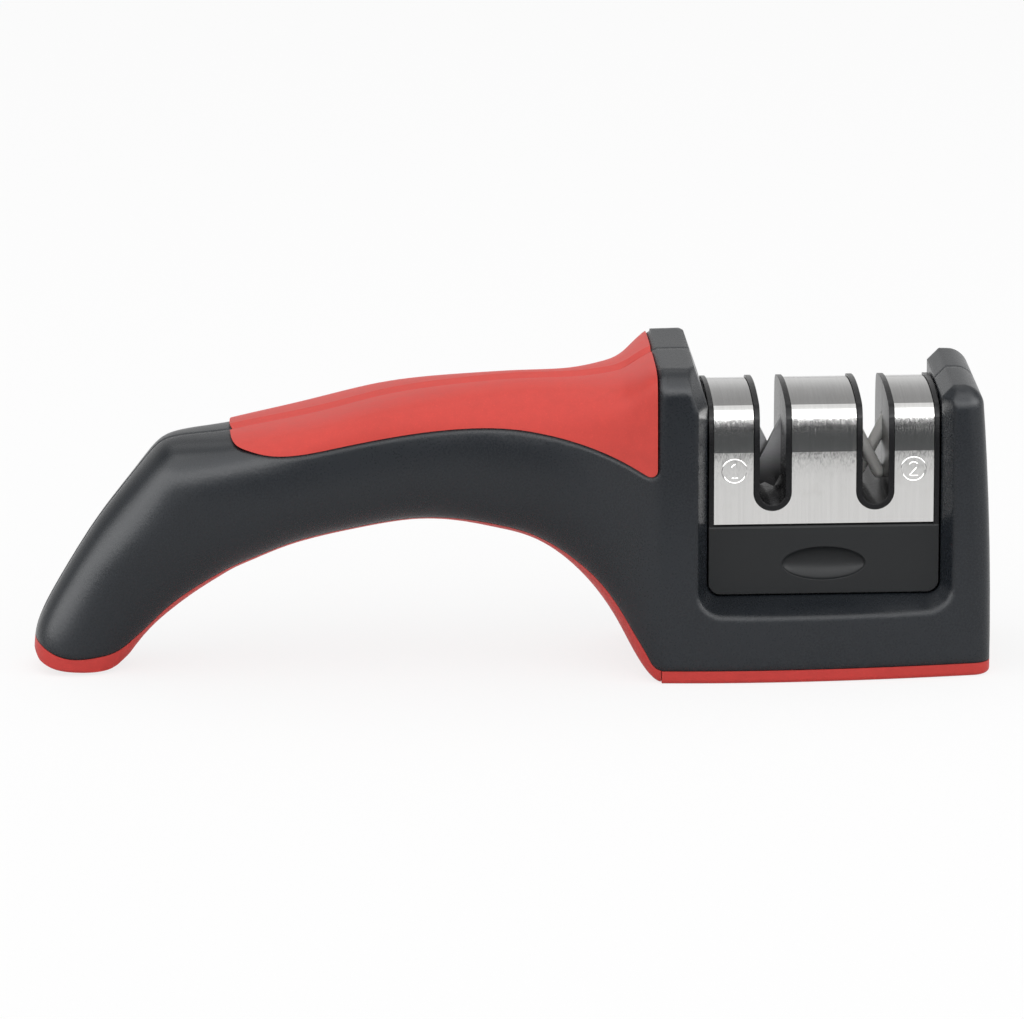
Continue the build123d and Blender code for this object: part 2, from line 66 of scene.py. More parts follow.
class Signal:
    """A number that runs through a shader's nodes; arithmetic on it adds Math nodes."""

    def __init__(self, graph: "Graph", socket: bpy.types.NodeSocket) -> None:
        """Wraps one output socket of a graph."""
        self.graph = graph
        self.socket = socket

    def _math(self, operation: str, *others: "Signal | float", first: bool = True) -> "Signal":
        """Adds one Math node.

        Args:
            operation: The node's operation.
            others: The other operands.
            first: Whether this signal is the first operand.

        Returns:
            The node's result.
        """
        operands = [self, *others] if first else [*others, self]
        node = self.graph.node("ShaderNodeMath", {"operation": operation}, dict(enumerate(operands)))
        return Signal(self.graph, node.outputs[0])

    def __add__(self, other: "Signal | float") -> "Signal":
        """Sum."""
        return self._math("ADD", other)

    __radd__ = __add__

    def __sub__(self, other: "Signal | float") -> "Signal":
        """Difference."""
        return self._math("SUBTRACT", other)

    def __rsub__(self, other: "Signal | float") -> "Signal":
        """Difference with this signal on the right."""
        return self._math("SUBTRACT", other, first=False)

    def __mul__(self, other: "Signal | float") -> "Signal":
        """Product."""
        return self._math("MULTIPLY", other)

    def __neg__(self) -> "Signal":
        """The signal with its sign turned."""
        return self * -1.0

    def swing(self, amount: float) -> "Signal":
        """A signal of 0 to 1 turned into minus to plus half the amount."""
        return (self - 0.5) * amount

    def ramp(self, low: float, high: float) -> "Signal":
        """0 below low, 1 above high, and a smooth step between.

        Args:
            low: Where the step begins.
            high: Where it ends.

        Returns:
            The step's value.
        """
        settings = {"interpolation_type": "SMOOTHSTEP"}
        values = {"Value": self, "From Min": low, "From Max": high}
        node = self.graph.node("ShaderNodeMapRange", settings, values)
        return Signal(self.graph, node.outputs[0])


class Graph:
    """Node tree of one material or of the world."""

    def __init__(self, tree: bpy.types.NodeTree) -> None:
        """Starts an empty tree."""
        self.tree = tree
        self.tree.nodes.clear()

    def node(
        self,
        kind: str,
        settings: dict[str, Any] | None = None,
        values: dict[str | int, Any] | None = None,
    ) -> bpy.types.Node:
        """Adds a node.

        Args:
            kind: The node's type.
            settings: Its properties, set first; "stops" holds a ramp's positions and colours.
            values: Its inputs by name or number: a number, a colour, a socket or a Signal.

        Returns:
            The node.
        """
        made = self.tree.nodes.new(kind)
        for key, value in (settings or {}).items():
            if key == "stops":
                for element, (place, colour) in zip(self._stops(made, len(value)), value):
                    element.position = place
                    element.color = (*colour, 1.0)
            else:
                setattr(made, key, value)
        for key, value in (values or {}).items():
            socket = made.inputs[key]
            if isinstance(value, Signal):
                self.tree.links.new(value.socket, socket)
            elif isinstance(value, bpy.types.NodeSocket):
                self.tree.links.new(value, socket)
            else:
                socket.default_value = self._fitted(socket, value)
        return made

    @staticmethod
    def _stops(ramp: bpy.types.Node, count: int) -> list[Any]:
        """The ramp's first elements, made up to the count."""
        elements = ramp.color_ramp.elements
        while len(elements) < count:
            elements.new(1.0)
        return list(elements)

    @staticmethod
    def _fitted(socket: bpy.types.NodeSocket, value: Any) -> Any:
        """A colour gets its alpha where the socket wants four numbers."""
        wants_four = socket.type == "RGBA"
        return (*value, 1.0) if wants_four and len(value) == 3 else value

    def coordinates(self) -> bpy.types.NodeSocket:
        """Object coordinates of the surface."""
        return self.node("ShaderNodeTexCoord").outputs["Object"]

    def axis(self, axis: Axis, of: bpy.types.NodeSocket | None = None) -> Signal:
        """One part of a vector.

        Args:
            axis: The part.
            of: The vector, or none for the object coordinates in metres.

        Returns:
            The part's value.
        """
        parts = self.node("ShaderNodeSeparateXYZ", {}, {0: of or self.coordinates()})
        return Signal(self, parts.outputs[axis.value])

    def streaks(self, cycles: Cycles, detail: float, rough: float) -> Signal:
        """Noise between 0 and 1, drawn out into streaks.

        Args:
            cycles: Cycles per metre along x, y and z.
            detail: Number of octaves.
            rough: Weight of each octave.

        Returns:
            The noise's value.
        """
        values = {"Vector": self.coordinates(), "Scale": cycles}
        return self.noise(1.0, detail, rough, self.node("ShaderNodeMapping", {}, values).outputs[0])

    def noise(self, scale: float, detail: float = 2.0, rough: float = 0.5, at: Any = None) -> Signal:
        """Noise between 0 and 1.

        Args:
            scale: Cycles per metre, or per unit of the coordinates given.
            detail: Number of octaves.
            rough: Weight of each octave.
            at: Coordinates, or the object's own.

        Returns:
            The noise's value.
        """
        values = {
            "Vector": at or self.coordinates(),
            "Scale": scale,
            "Detail": detail,
            "Roughness": rough,
        }
        return Signal(self, self.node("ShaderNodeTexNoise", {}, values).outputs[0])

    def cells(self, scale: float) -> Signal:
        """Distance to the nearest of scattered points, in cells of the scale per metre."""
        values = {"Vector": self.coordinates(), "Scale": scale}
        return Signal(self, self.node("ShaderNodeTexVoronoi", {}, values).outputs["Distance"])

    def mixed(self, factor: Signal | float, low: Any, high: Any) -> bpy.types.NodeSocket:
        """Colour between two colours.

        Args:
            factor: Share of the second colour.
            low: First colour or its socket.
            high: Second colour or its socket.

        Returns:
            The colour's socket.
        """
        return self.node("ShaderNodeMix", {"data_type": "RGBA"}, {0: factor, 6: low, 7: high}).outputs[2]

    def shades(self, factor: Signal | float, colour: Colour, span: Span) -> bpy.types.NodeSocket:
        """Colour between two brightnesses of one colour.

        Args:
            factor: Share of the second brightness.
            colour: The colour.
            span: The two brightnesses, as shares of the colour.

        Returns:
            The colour's socket.
        """
        return self.mixed(factor, *(shaded(colour, share) for share in span))

    def bump(
        self,
        height: Signal,
        depth: float,
        strength: float = 1.0,
        edge: float = 0.0,
    ) -> bpy.types.NodeSocket:
        """Normal of a surface raised by a height.

        Args:
            height: The relief, about 0 to 1.
            depth: Metres that a height of 1 stands for.
            strength: Share of the relief that is used.
            edge: Radius in metres to which sharp edges look worn round, or 0.

        Returns:
            The normal's socket.
        """
        values = {"Height": height, "Distance": depth, "Strength": strength}
        if edge:
            values["Normal"] = self.node("ShaderNodeBevel", {"samples": 6}, {"Radius": edge}).outputs[0]
        return self.node("ShaderNodeBump", {}, values).outputs[0]

    def surface(self, values: dict[str, Any]) -> None:
        """Ends a material in a Principled shader with these inputs."""
        shader = self.node("ShaderNodeBsdfPrincipled", {}, values)
        self.node("ShaderNodeOutputMaterial", {}, {"Surface": shader.outputs[0]})


def started(name: str) -> tuple[bpy.types.Material, Graph]:
    """A new material and its empty graph."""
    made = bpy.data.materials.new(name)
    made.use_nodes = True
    return made, Graph(made.node_tree)


def shaded(colour: Colour, share: float) -> Colour:
    """The colour made lighter or darker by a share."""
    return tuple(min(channel * share, 1.0) for channel in colour)


@dataclass(frozen=True)
class MouldedPlastic:
    """Fine grained moulded plastic, with tiny bright specks painted into its colour as glints where the
    grain catches light.
    """

    name: str
    colour: Colour
    roughness: float
    grain_per_metre: float
    grain_depth: float
    painted_glint_share: float
    edge_radius: float
    pits_per_grain: float = 0.55
    painted_glints_per_grain: float = 1.7
    painted_glint_span: Span = (0.66, 0.78)
    painted_glint_shade: float = 4.0
    clouds_per_metre: float = 55.0
    cloud_shades: Span = (0.9, 1.12)
    grain_height: float = 0.7
    pit_height: float = 0.5
    grain_roughness: float = 0.12
    cloud_roughness: float = 0.06
    specular: float = 0.38

    def material(self) -> bpy.types.Material:
        """The finish as a material."""
        made, graph = started(self.name)
        grain = graph.noise(self.grain_per_metre, detail=3.0, rough=0.62)
        pits = graph.cells(self.pits_per_grain * self.grain_per_metre)
        cloud = graph.noise(self.clouds_per_metre, detail=3.0)
        # Painted glints: scattered specks of the colour made much brighter, standing in for highlights on
        # the grain.
        painted_glints = graph.noise(self.painted_glints_per_grain * self.grain_per_metre, detail=1.0).ramp(*self.painted_glint_span)
        base = graph.shades(cloud, self.colour, self.cloud_shades)
        base = graph.mixed(painted_glints * self.painted_glint_share, base, shaded(self.colour, self.painted_glint_shade))
        relief = grain * self.grain_height + pits * self.pit_height
        uneven = self.roughness + grain.swing(self.grain_roughness) + cloud.swing(self.cloud_roughness)
        graph.surface(
            {
                "Base Color": base,
                "Roughness": uneven,
                "Normal": graph.bump(relief, self.grain_depth, edge=self.edge_radius),
                "Specular IOR Level": self.specular,
            }
        )
        return made


@dataclass(frozen=True)
class SoftRubber:
    """Soft touch elastomer with a matt, slightly mottled skin."""

    name: str
    colour: Colour
    roughness: float
    grain_per_metre: float
    grain_depth: float
    mottles_per_metre: float = 420.0
    mottle_share: float = 0.5
    mottle_shades: Span = (0.8, 1.16)
    clouds_per_metre: float = 40.0
    pale_speck_span: Span = (0.52, 0.75)
    pale_speck_share: float = 0.35
    pale_speck_shade: float = 1.3
    grain_height: float = 0.7
    mottle_height: float = 0.4
    mottle_roughness: float = 0.14
    specular: float = 0.22
    sheen: float = 0.03
    sheen_roughness: float = 0.45

    def material(self) -> bpy.types.Material:
        """The finish as a material."""
        made, graph = started(self.name)
        grain = graph.noise(self.grain_per_metre, detail=4.0, rough=0.6)
        mottle = graph.noise(self.mottles_per_metre, detail=3.0, rough=0.6)
        cloud = graph.noise(self.clouds_per_metre)
        blotch = cloud * (1.0 - self.mottle_share) + mottle * self.mottle_share
        base = graph.shades(blotch, self.colour, self.mottle_shades)
        # Lighter specks where the grain stands high.
        pale_specks = grain.ramp(*self.pale_speck_span) * self.pale_speck_share
        base = graph.mixed(pale_specks, base, shaded(self.colour, self.pale_speck_shade))
        relief = grain * self.grain_height + mottle * self.mottle_height
        graph.surface(
            {
                "Base Color": base,
                "Roughness": self.roughness + mottle.swing(self.mottle_roughness),
                "Normal": graph.bump(relief, self.grain_depth),
                "Specular IOR Level": self.specular,
                "Sheen Weight": self.sheen,
                "Sheen Roughness": self.sheen_roughness,
            }
        )
        return made


@dataclass(frozen=True)
class CorePlastic:
    """Dark plastic of the cartridge core: satin on the apron, glossier and blacker on the rims above it."""

    name: str
    apron: Colour
    rims: Colour
    apron_top: float
    border: float = 0.2 * MM
    grain_per_metre: float = 2400.0
    grain_depth: float = 0.012 * MM
    grain_roughness: float = 0.1
    apron_roughness: float = 0.42
    rim_polish: float = 0.16
    dust_per_metre: float = 900.0
    pale_speck_span: Span = (0.62, 0.8)
    pale_speck_share: float = 0.25
    dust_tone: Colour = (0.10, 0.10, 0.10)
    edge_radius: float = 0.25 * MM
    specular: float = 0.24

    def material(self) -> bpy.types.Material:
        """The finish as a material."""
        made, graph = started(self.name)
        above = graph.axis(Axis.Z).ramp(self.apron_top - self.border, self.apron_top + self.border)
        grain = graph.noise(self.grain_per_metre, detail=3.0, rough=0.6)
        pale_specks = graph.noise(self.dust_per_metre, detail=4.0, rough=0.7).ramp(*self.pale_speck_span)
        base = graph.mixed(above, self.apron, self.rims)
        base = graph.mixed(pale_specks * above * self.pale_speck_share, base, self.dust_tone)
        smooth = self.apron_roughness - above * self.rim_polish
        graph.surface(
            {
                "Base Color": base,
                "Roughness": smooth + grain.swing(self.grain_roughness),
                "Normal": graph.bump(grain, self.grain_depth, edge=self.edge_radius),
                "Specular IOR Level": self.specular,
            }
        )
        return made


@dataclass(frozen=True)
class BrushedSteel:
    """Bent stainless sheet, brushed round the bend, so its lines run across the length."""

    name: str
    colour: Colour
    roughness: float
    fine_cycles: Cycles
    broad_cycles: Cycles
    ripple_cycles: Cycles
    fine_share: float = 0.6
    line_shades: Span = (0.78, 1.16)
    stains_per_metre: float = 160.0
    stain_span: Span = (0.5, 0.8)
    stain_share: float = 0.10
    stain_tone: Colour = (0.38, 0.35, 0.30)
    fine_roughness: float = 0.08
    stain_roughness: float = 0.04
    fine_height: float = 0.5
    broad_height: float = 0.2
    ripple_height: float = 1.8
    relief_depth: float = 0.012 * MM
    relief_strength: float = 0.8

    def material(self) -> bpy.types.Material:
        """The finish as a material."""
        made, graph = started(self.name)
        fine = graph.streaks(self.fine_cycles, detail=3.0, rough=0.7)
        broad = graph.streaks(self.broad_cycles, detail=2.0, rough=0.6)
        ripple = graph.streaks(self.ripple_cycles, detail=2.0, rough=0.6)
        stain = graph.noise(self.stains_per_metre, detail=4.0, rough=0.65).ramp(*self.stain_span)
        lines = fine * self.fine_share + broad * (1.0 - self.fine_share)
        base = graph.shades(lines, self.colour, self.line_shades)
        base = graph.mixed(stain * self.stain_share, base, self.stain_tone)
        relief = fine * self.fine_height + broad * self.broad_height + ripple * self.ripple_height
        uneven = self.roughness + fine.swing(self.fine_roughness) + stain * self.stain_roughness
        graph.surface(
            {
                "Base Color": base,
                "Metallic": 1.0,
                "Roughness": uneven,
                "Normal": graph.bump(relief, self.relief_depth, self.relief_strength),
            }
        )
        return made


@dataclass(frozen=True)
class GroundCarbide:
    """Sintered carbide, ground on its faces, dark grey with a fine cross grain; painted shade turns it black
    deep in its slot.
    """

    name: str
    colour: Colour
    unshaded_above: float
    painted_shade_fade: float = 12.0 * MM
    painted_shade_share: float = 0.06
    line_cycles: Cycles = (900.0, 900.0, 5200.0)
    clouds_per_metre: float = 260.0
    cloud_share: float = 0.5
    shades: Span = (0.7, 1.3)
    roughness: float = 0.3
    cloud_roughness: float = 0.2
    line_depth: float = 0.006 * MM
    line_strength: float = 0.5

    def material(self) -> bpy.types.Material:
        """The finish as a material."""
        made, graph = started(self.name)
        lines = graph.streaks(self.line_cycles, detail=3.0, rough=0.7)
        cloud = graph.noise(self.clouds_per_metre, detail=3.0)
        blotch = lines * (1.0 - self.cloud_share) + cloud * self.cloud_share
        base = graph.shades(blotch, self.colour, self.shades)
        # Painted shade: the colour fades to near black below a set height, as if the slot's shadow lay on
        # it.
        unshaded = graph.axis(Axis.Z).ramp(self.unshaded_above - self.painted_shade_fade, self.unshaded_above)
        base = graph.mixed(unshaded, shaded(self.colour, self.painted_shade_share), base)
        graph.surface(
            {
                "Base Color": base,
                "Metallic": 1.0,
                "Roughness": self.roughness + cloud.swing(self.cloud_roughness),
                "Normal": graph.bump(lines, self.line_depth, self.line_strength),
            }
        )
        return made


@dataclass(frozen=True)
class WhiteCeramic:
    """Unglazed white rod, a little grey where steel has rubbed it."""

    name: str
    colour: Colour
    rubbed_height: float
    rubbed_below: float = 2.5 * MM
    rubbed_over: float = 4.0 * MM
    rubbed_share: float = 0.3
    rubbed_tone: Colour = (0.5, 0.49, 0.47)
    streak_cycles: Cycles = (500.0, 500.0, 2600.0)
    streak_span: Span = (0.45, 0.8)
    grain_per_metre: float = 3000.0
    grain_share: float = 0.4
    grain_shade: float = 0.86
    grain_depth: float = 0.005 * MM
    grain_roughness: float = 0.1
    roughness: float = 0.38

    def material(self) -> bpy.types.Material:
        """The finish as a material."""
        made, graph = started(self.name)
        level = graph.axis(Axis.Z)
        from_below = level.ramp(self.rubbed_height - self.rubbed_below, self.rubbed_height)
        from_above = 1.0 - level.ramp(self.rubbed_height, self.rubbed_height + self.rubbed_over)
        streaks = graph.streaks(self.streak_cycles, detail=3.0, rough=0.6).ramp(*self.streak_span)
        grain = graph.noise(self.grain_per_metre, detail=2.0)
        base = graph.mixed(grain * self.grain_share, self.colour, shaded(self.colour, self.grain_shade))
        base = graph.mixed(from_below * from_above * streaks * self.rubbed_share, base, self.rubbed_tone)
        graph.surface(
            {
                "Base Color": base,
                "Roughness": self.roughness + grain.swing(self.grain_roughness),
                "Normal": graph.bump(grain, self.grain_depth),
            }
        )
        return made


@dataclass(frozen=True)
class PlatedSteel:
    """Zinc plated screw steel."""

    name: str
    colour: Colour
    shades: Span = (0.8, 1.15)
    clouds_per_metre: float = 900.0
    cloud_roughness: float = 0.2
    roughness: float = 0.28

    def material(self) -> bpy.types.Material:
        """The finish as a material."""
        made, graph = started(self.name)
        cloud = graph.noise(self.clouds_per_metre, detail=3.0)
        graph.surface(
            {
                "Base Color": graph.shades(cloud, self.colour, self.shades),
                "Metallic": 1.0,
                "Roughness": self.roughness + cloud * self.cloud_roughness,
            }
        )
        return made


SHELL_FINISH = MouldedPlastic(
    name="shell_plastic",
    colour=(0.009, 0.0115, 0.015),
    roughness=0.28,
    grain_per_metre=2300.0,
    grain_depth=0.016 * MM,
    painted_glint_share=0.22,
    edge_radius=1.8 * MM,
)
GRIP_FINISH = SoftRubber(
    name="grip_rubber",
    colour=(0.62, 0.066, 0.053),
    roughness=0.42,
    grain_per_metre=2500.0,
    grain_depth=0.03 * MM,
)
SOLE_FINISH = SoftRubber(
    name="sole_rubber",
    colour=(0.56, 0.052, 0.045),
    roughness=0.45,
    grain_per_metre=2200.0,
    grain_depth=0.02 * MM,
)
CORE_FINISH = CorePlastic(
    name="core_plastic",
    apron=(0.012, 0.013, 0.014),
    rims=(0.006, 0.006, 0.007),
    apron_top=32.35 * MM,
)
COVER_FINISH = BrushedSteel(
    name="cover_steel",
    colour=(0.66, 0.655, 0.645),
    roughness=0.09,
    fine_cycles=(9000.0, 90.0, 90.0),
    broad_cycles=(1800.0, 40.0, 40.0),
    ripple_cycles=(2700.0, 300.0, 380.0),
)
CARBIDE_FINISH = GroundCarbide(name="carbide", colour=(0.42, 0.42, 0.43), unshaded_above=50.0 * MM)
CERAMIC_FINISH = WhiteCeramic(name="ceramic", colour=(0.90, 0.89, 0.86), rubbed_height=45.0 * MM)
SCREW_FINISH = PlatedSteel(name="screw_steel", colour=(0.55, 0.55, 0.54))


def paint(piece: bpy.types.Object, material: bpy.types.Material) -> None:
    """Gives a piece its material in every slot."""
    if not piece.data.materials:
        piece.data.materials.append(material)
    for place in range(len(piece.data.materials)):
        piece.data.materials[place] = material


def dressed(node: str, material: bpy.types.Material) -> bpy.types.Object:
    """Gives a CAD node its finish; its exact surface normals stay as they are.

    Args:
        node: The CAD node.
        material: Its finish.

    Returns:
        The node's object.
    """
    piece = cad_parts[node]
    paint(piece, material)
    return piece


@dataclass
class Handle:
    """The two shells with their grips and the red strip under the arch."""

    shells: tuple[str, ...] = ("front_shell", "rear_shell")
    grips: tuple[str, ...] = ("front_grip", "rear_grip")
    soles: tuple[str, ...] = ("foot_sole", "arch_strip", "base_sole")
    foot_joint_x: float = -83.93 * MM
    foot_joint_slit: float = 0.05 * MM
    drawn_share: float = 0.8
    found_share: float = 0.2

    def close_foot_joint(self) -> None:
        """Draws the strip's flat end over most of the slit between it and the foot sole."""
        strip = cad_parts["arch_strip"]
        places = np.empty(3 * len(strip.data.vertices))
        strip.data.vertices.foreach_get("co", places)
        away = np.abs(places[0::3] - self.foot_joint_x)
        at_end = np.flatnonzero(away < self.found_share * self.foot_joint_slit)
        group = strip.vertex_groups.new(name="foot_end")
        group.add(at_end.tolist(), 1.0, "REPLACE")
        drawn = strip.modifiers.new("foot_end", "DISPLACE")
        drawn.direction, drawn.vertex_group = "X", group.name
        drawn.mid_level, drawn.strength = 0.0, -self.drawn_share * self.foot_joint_slit
        LOG.info("foot joint: %d points", len(at_end))

    def build(self) -> list[bpy.types.Object]:
        """Dresses the nodes and returns them."""
        made = []
        groups = (
            (self.shells, SHELL_FINISH, "shell"),
            (self.grips, GRIP_FINISH, "grip"),
            (self.soles, SOLE_FINISH, "sole"),
        )
        for nodes, finish, slot in groups:
            material = finish.material()
            for node in nodes:
                made.append(dressed(node, material))
        self.close_foot_joint()
        return made


def unit_rows(vectors: np.ndarray) -> np.ndarray:
    """Each row scaled to length one."""
    return vectors / np.linalg.norm(vectors, axis=1, keepdims=True)


@dataclass
class StampedMark:
    """Numeral in a ring, raised from the steel as a rounded bead."""

    name: str
    centre: tuple[float, float, float]
    strokes: list[list[Span]]
    height: float = 3.0 * MM
    ring_radius: float = 2.55 * MM
    bead_width: float = 0.38 * MM
    bead_rise: float = 0.06 * MM
    ring_points: int = 64

    def bead(self, path: np.ndarray, closed: bool, across: int = 9) -> tuple[np.ndarray, np.ndarray]:
        """A bead of half round section carried along a path on the steel's face.

        At share s across, from 0 to 1, the surface lies on the path plus (s - 0.5) bead widths
        along the path's left, and stands proud by the bead's rise times the sine of pi s.

        Args:
            path: Points of the path as x and z in the face.
            closed: Whether the path meets its start.
            across: Points across the bead.

        Returns:
            The bead's points and its quads.
        """
        ahead = np.roll(path, -1, axis=0) - path
        behind = path - np.roll(path, 1, axis=0)
        if not closed:
            ahead[-1] = behind[-1]
            behind[0] = ahead[0]
        along = unit_rows(unit_rows(ahead) + unit_rows(behind))
        left = np.stack([-along[:, 1], along[:, 0]], axis=1)
        share = np.linspace(0.0, 1.0, across)
        flat = path[:, None, :] + (share[None, :, None] - 0.5) * self.bead_width * left[:, None, :]
        rise = self.bead_rise * np.sin(math.pi * share)[None, :] * np.ones((len(path), 1))
        points = np.stack(
            [
                self.centre[0] + flat[..., 0],
                self.centre[1] - rise,
                self.centre[2] + flat[..., 1],
            ],
            axis=-1,
        ).reshape(-1, 3)
        rows = np.arange(len(path) if closed else len(path) - 1)
        after = (rows + 1) % len(path)
        columns = np.arange(across - 1)
        near, far = rows[:, None] * across, after[:, None] * across
        quads = np.stack([near + columns, near + columns + 1, far + columns + 1, far + columns], axis=-1)
        return points, quads.reshape(-1, 4)

    @staticmethod
    def evened(stroke: list[Span], count: int = 48) -> np.ndarray:
        """Evenly spaced points along the straight runs of a stroke.

        Args:
            stroke: The stroke's corners.
            count: Number of points.

        Returns:
            The points as rows of x and z.
        """
        corners = np.array(stroke, float)
        reach = np.r_[0.0, np.cumsum(np.linalg.norm(np.diff(corners, axis=0), axis=1))]
        even = np.linspace(0.0, reach[-1], count)
        return np.stack([np.interp(even, reach, along) for along in corners.T], axis=1)

    def build(self, body: str, material: bpy.types.Material) -> bpy.types.Object:
        """Makes the mark as one mesh on the steel.

        Args:
            body: The body that it rides on.
            material: Its finish.

        Returns:
            The piece.
        """
        turn = np.linspace(0.0, 2.0 * math.pi, self.ring_points, endpoint=False)
        ring = self.ring_radius * np.stack([np.cos(turn), np.sin(turn)], axis=1)
        beads = [self.bead(ring, True)]
        beads += [self.bead(self.height * self.evened(stroke), False) for stroke in self.strokes]
        points, faces, base = [], [], 0
        for bead_points, bead_faces in beads:
            points.append(bead_points)
            faces.append(bead_faces + base)
            base += len(bead_points)
        mesh = bpy.data.meshes.new(self.name)
        mesh.from_pydata(np.concatenate(points).tolist(), [], np.concatenate(faces).tolist())
        mesh.polygons.foreach_set("use_smooth", np.ones(len(mesh.polygons), dtype=bool))
        mesh.update()
        piece = bpy.data.objects.new(self.name, mesh)
        bpy.context.scene.collection.objects.link(piece)
        paint(piece, material)
        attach(piece, body)
        return piece


@dataclass(frozen=True)
class Numerals:
    """Strokes of the numerals 1 and 2 in a box of unit height round the origin."""

    one_stem: tuple[Span, ...] = ((-0.2, 0.28), (0.02, 0.5), (0.02, -0.5))
    one_foot: tuple[Span, ...] = ((-0.2, -0.5), (0.24, -0.5))
    two_foot: tuple[Span, ...] = ((-0.29, -0.5), (0.31, -0.5))
    bow_radius: float = 0.27
    bow_height: float = 0.22
    bow_degrees: Span = (165.0, -38.0)
    bow_points: int = 22

    def one(self) -> list[list[Span]]:
        """A flag with its stem, and a flat foot."""
        return [list(self.one_stem), list(self.one_foot)]

    def two(self) -> list[list[Span]]:
        """A bow, a slanted leg and a flat foot in one stroke."""
        turn = np.radians(np.linspace(*self.bow_degrees, self.bow_points))
        bow = [
            (self.bow_radius * math.cos(a), self.bow_height + self.bow_radius * math.sin(a)) for a in turn
        ]
        return [bow + list(self.two_foot)]


@dataclass
class Cartridge:
    """The drop-in cartridge: core halves, steel cover, crossed blades and rods."""

    body: str = "cartridge"
    mark_height: float = 44.2 * MM
    mark_inset: float = 4.3 * MM
    face_gap: float = 0.004 * MM

    def build(self) -> list[bpy.types.Object]:
        """Dresses the nodes, adds the stamped marks and returns the pieces."""
        steel = COVER_FINISH.material()
        made = []
        groups = (
            (("front_core", "rear_core"), CORE_FINISH.material(), "core"),
            (("steel_cover",), steel, "cover"),
            (("front_carbide", "rear_carbide"), CARBIDE_FINISH.material(), "carbide"),
            (("front_ceramic", "rear_ceramic"), CERAMIC_FINISH.material(), "ceramic"),
            (("core_screws",), SCREW_FINISH.material(), "screw"),
        )
        for nodes, material, slot in groups:
            for node in nodes:
                made.append(dressed(node, material))
        low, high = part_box("steel_cover")
        face = low.y - self.face_gap
        coarse = (low.x + self.mark_inset, face, self.mark_height)
        fine = (high.x - self.mark_inset, face, self.mark_height)
        marks = (
            StampedMark("mark_coarse", coarse, Numerals().one()),
            StampedMark("mark_fine", fine, Numerals().two()),
        )
        made += [mark.build(self.body, steel) for mark in marks]
        return made


@dataclass(frozen=True)
class Lamp:
    """A soft rectangular lamp, in metres and watts."""

    name: str
    place: tuple[float, float, float]
    width: float
    height: float
    power: float

    def build(self, target: Vector) -> None:
        """Places the lamp and aims it at the target."""
        light = bpy.data.lights.new(self.name, "AREA")
        light.shape = "RECTANGLE"
        light.size, light.size_y = self.width, self.height
        light.energy = self.power
        placed = bpy.data.objects.new(self.name, light)
        bpy.context.scene.collection.objects.link(placed)
        placed.location = self.place
        placed.rotation_euler = (target - Vector(self.place)).to_track_quat("-Z", "Y").to_euler()


